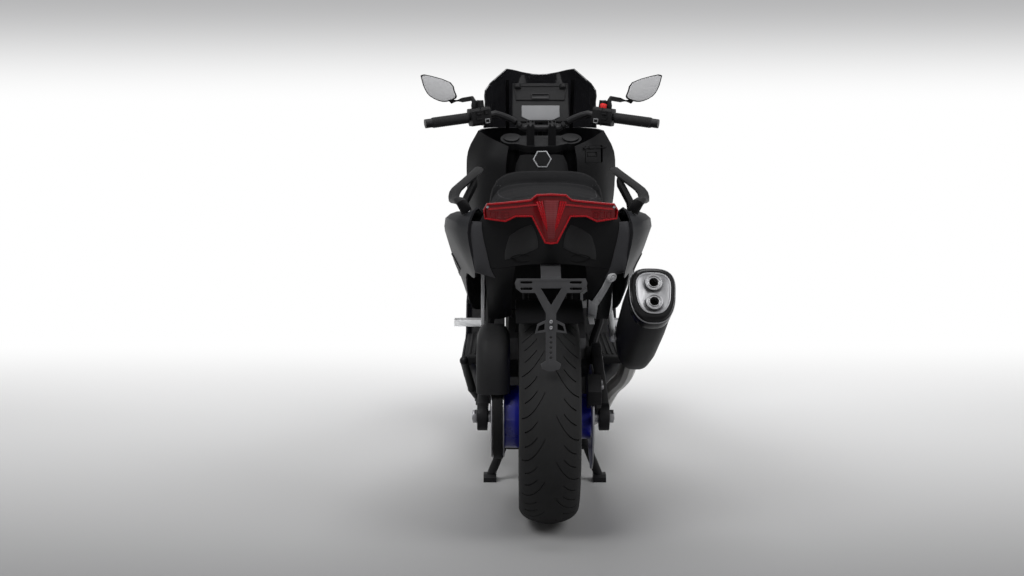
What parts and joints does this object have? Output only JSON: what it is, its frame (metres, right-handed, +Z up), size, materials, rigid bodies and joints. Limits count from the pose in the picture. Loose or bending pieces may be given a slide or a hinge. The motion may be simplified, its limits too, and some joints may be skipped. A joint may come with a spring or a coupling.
{
  "type": "motor scooter",
  "caption": "Large motor scooter on its centre stand: step-over floor, two-level seat, windscreen, mirrors, belt drive to a cast rear wheel and an upswept muffler.",
  "frame": {"origin": "middle of the overall box, on the ground", "axes": "+Y forward, +X to the rider's right, +Z up"},
  "size_m": [0.808, 2.136, 1.228],
  "materials": {
    "frame_black": "satin",
    "engine_grey": "cast",
    "bright_alloy": "satin",
    "steel": "ground",
    "belt_rubber": "matt",
    "tyre_rubber": "matt",
    "rim_blue": "gloss",
    "body_grey": "satin metallic",
    "trim_black": "grained",
    "muffler_grey": "matt",
    "seat_cover": "grained",
    "lamp_red": "clear gloss",
    "lamp_clear": "clear",
    "screen_smoke": "smoked",
    "display_grey": "gloss",
    "mirror_glass": "polished",
    "grip_rubber": "matt"
  },
  "bodies": {
    "chassis": {"frame": "frame_black", "rear_frame": "frame_black", "seat_rails": "frame_black", "tail_bar": "frame_black", "engine": "engine_grey", "radiator": "engine_grey", "swingarm": "frame_black", "rear_axle": "steel", "drive_belt": "belt_rubber", "belt_cover": "trim_black", "rear_caliper": "frame_black", "exhaust_pipe": "steel", "muffler": "muffler_grey", "muffler_cap": "muffler_grey", "footrest_brackets": "bright_alloy", "rear_mudguard": "trim_black", "storage_tub": "trim_black", "tail_cowl": "body_grey", "tail_lamp": "lamp_red", "side_panels": "body_grey", "grab_rails": "trim_black", "plate_bracket": "trim_black", "tunnel": "trim_black", "footboards": "trim_black", "leg_shield": "trim_black", "glovebox": "trim_black", "lower_fairings": "body_grey", "front_cowl": "body_grey", "headlamps": "lamp_clear", "windscreen": "screen_smoke", "dash": "trim_black", "display": "display_grey"},
    "steering": {"triple_clamp": "frame_black", "fork_legs": "frame_black", "front_axle": "steel", "front_fender": "body_grey", "front_calipers": "frame_black", "handlebar": "frame_black", "grips": "grip_rubber", "switchgear": "trim_black", "brake_levers": "bright_alloy", "mirrors": "trim_black", "mirror_glass": "mirror_glass"},
    "front_wheel": {"front_rim": "rim_blue", "front_tyre": "tyre_rubber", "front_discs": "steel"},
    "rear_wheel": {"rear_rim": "rim_blue", "rear_tyre": "tyre_rubber", "rear_disc": "steel", "rear_pulley": "bright_alloy"},
    "seat": {"seat_pan": "trim_black", "seat": "seat_cover"},
    "glovebox_lid": {"glovebox_lid": "trim_black"},
    "centre_stand": {"centre_stand": "frame_black"},
    "side_stand": {"side_stand": "frame_black"}
  },
  "joints": [
    {"name": "steering", "type": "hinge", "parent": "chassis", "child": "steering", "pos_m": [0, 0.47957, 0.84458], "axis": [0, -0.4384, 0.8988], "range_deg": [-36, 36]},
    {"name": "front_wheel_spin", "type": "hinge", "parent": "steering", "child": "front_wheel", "pos_m": [0, 0.7935, 0.2745], "axis": [1, 0, 0], "continuous": true},
    {"name": "rear_wheel_spin", "type": "hinge", "parent": "chassis", "child": "rear_wheel", "pos_m": [0, -0.7815, 0.2945], "axis": [1, 0, 0], "continuous": true},
    {"name": "seat_hinge", "type": "hinge", "parent": "chassis", "child": "seat", "pos_m": [0, 0.0185, 0.706], "axis": [-1, 0, 0], "range_deg": [0, 62]},
    {"name": "glovebox_hinge", "type": "hinge", "parent": "chassis", "child": "glovebox_lid", "pos_m": [0.167, 0.341, 0.966], "axis": [-0.8218, -0.5698, 0], "range_deg": [0, 55]},
    {"name": "centre_stand_hinge", "type": "hinge", "parent": "chassis", "child": "centre_stand", "pos_m": [0, -0.3515, 0.212], "axis": [-1, 0, 0], "range_deg": [0, 83]},
    {"name": "side_stand_hinge", "type": "hinge", "parent": "chassis", "child": "side_stand", "pos_m": [-0.196, -0.2415, 0.235], "axis": [0.9928, 0.0675, -0.0993], "range_deg": [0, 155]}
  ]
}
